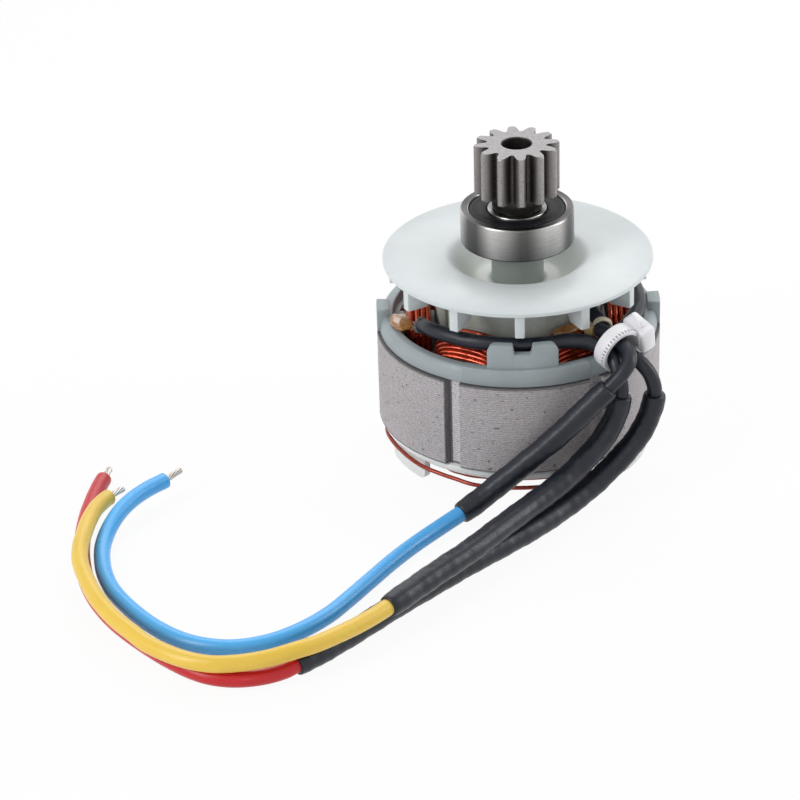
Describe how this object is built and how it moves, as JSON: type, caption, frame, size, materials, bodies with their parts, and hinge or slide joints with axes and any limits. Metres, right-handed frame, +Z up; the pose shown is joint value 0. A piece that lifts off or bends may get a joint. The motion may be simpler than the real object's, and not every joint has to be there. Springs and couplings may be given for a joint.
{
  "type": "lawn mower motor",
  "caption": "Brushless motor core without its housing: wound stator on feet, rotor with cooling fan, ball bearings and drive pinion, and sleeved leads",
  "frame": {"origin": "on the shaft axis, at the surface that the stator's feet stand on", "axes": "+Z up along the shaft to the pinion, -Y towards the notched tab of the top insulator, +X towards the side where the leads pass the cable tie"},
  "size_m": [0.1187, 0.1228, 0.0663],
  "materials": {
    "lamination_steel": "varnished electrical steel, laminated",
    "insulator_nylon": "moulded glass-filled nylon, pale grey",
    "enamelled_copper": "enamelled copper wire, red-brown",
    "varnish": "hardened impregnating varnish, amber",
    "ground_steel": "ground and hardened steel",
    "magnet_nickel": "plated sintered magnet",
    "balance_brass": "turned brass",
    "natural_nylon": "moulded natural nylon, milky white",
    "dark_steel": "blackened steel",
    "seal_rubber": "moulded nitrile rubber, black",
    "shrink_sleeve": "heat-shrink sleeve, charcoal",
    "blue_insulation": "wire insulation, blue",
    "yellow_insulation": "wire insulation, yellow",
    "red_insulation": "wire insulation, red",
    "tinned_copper": "tinned copper strands"
  },
  "bodies": {
    "stator": {"stator_stack": "lamination_steel", "insulator_top": "insulator_nylon", "insulator_bottom": "insulator_nylon", "winding_1": "enamelled_copper", "winding_2": "enamelled_copper", "winding_3": "enamelled_copper", "winding_4": "enamelled_copper", "winding_5": "enamelled_copper", "winding_6": "enamelled_copper", "jumper_wire_1": "enamelled_copper", "jumper_wire_2": "enamelled_copper", "varnish_left": "varnish", "varnish_right": "varnish", "cable_tie": "natural_nylon", "blue_inner_sleeve": "shrink_sleeve", "blue_outer_sleeve": "shrink_sleeve", "blue_lead": "blue_insulation", "blue_core_end": "tinned_copper", "yellow_inner_sleeve": "shrink_sleeve", "yellow_outer_sleeve": "shrink_sleeve", "yellow_lead": "yellow_insulation", "yellow_core_end": "tinned_copper", "red_inner_sleeve": "shrink_sleeve", "red_outer_sleeve": "shrink_sleeve", "red_lead": "red_insulation", "red_core_end": "tinned_copper"},
    "rotor": {"shaft": "ground_steel", "rotor_core": "lamination_steel", "magnet_1": "magnet_nickel", "magnet_2": "magnet_nickel", "magnet_3": "magnet_nickel", "magnet_4": "magnet_nickel", "balance_plate_upper": "balance_brass", "balance_plate_lower": "balance_brass", "fan": "natural_nylon", "spacer": "dark_steel", "pinion": "ground_steel", "upper_bearing_inner_ring": "ground_steel", "lower_bearing_inner_ring": "ground_steel"},
    "upper_bearing_housing": {"upper_bearing_outer_ring": "ground_steel", "upper_bearing_seal_upper": "seal_rubber", "upper_bearing_seal_lower": "seal_rubber"},
    "upper_bearing_ball_set": {"upper_bearing_cage": "ground_steel"},
    "lower_bearing_housing": {"lower_bearing_outer_ring": "ground_steel", "lower_bearing_seal_upper": "seal_rubber", "lower_bearing_seal_lower": "seal_rubber"},
    "lower_bearing_ball_set": {"lower_bearing_cage": "ground_steel"}
  },
  "joints": [
    {"name": "rotor_spin", "type": "hinge", "parent": "stator", "child": "rotor", "pos_m": [0, 0, 0.0166], "axis": [0, 0, 1], "continuous": true},
    {"name": "upper_bearing_spin", "type": "hinge", "parent": "rotor", "child": "upper_bearing_housing", "pos_m": [0, 0, 0.0489], "axis": [0, 0, 1], "continuous": true},
    {"name": "upper_ball_spin", "type": "hinge", "parent": "rotor", "child": "upper_bearing_ball_set", "pos_m": [0, 0, 0.0489], "axis": [0, 0, 1], "continuous": true},
    {"name": "lower_bearing_spin", "type": "hinge", "parent": "rotor", "child": "lower_bearing_housing", "pos_m": [0, 0, 0.0035], "axis": [0, 0, 1], "continuous": true},
    {"name": "lower_ball_spin", "type": "hinge", "parent": "rotor", "child": "lower_bearing_ball_set", "pos_m": [0, 0, 0.0035], "axis": [0, 0, 1], "continuous": true}
  ],
  "couplings": [
    {"joint": "upper_ball_spin", "follows": "upper_bearing_spin", "ratio": 0.6267},
    {"joint": "lower_ball_spin", "follows": "lower_bearing_spin", "ratio": 0.6333}
  ]
}
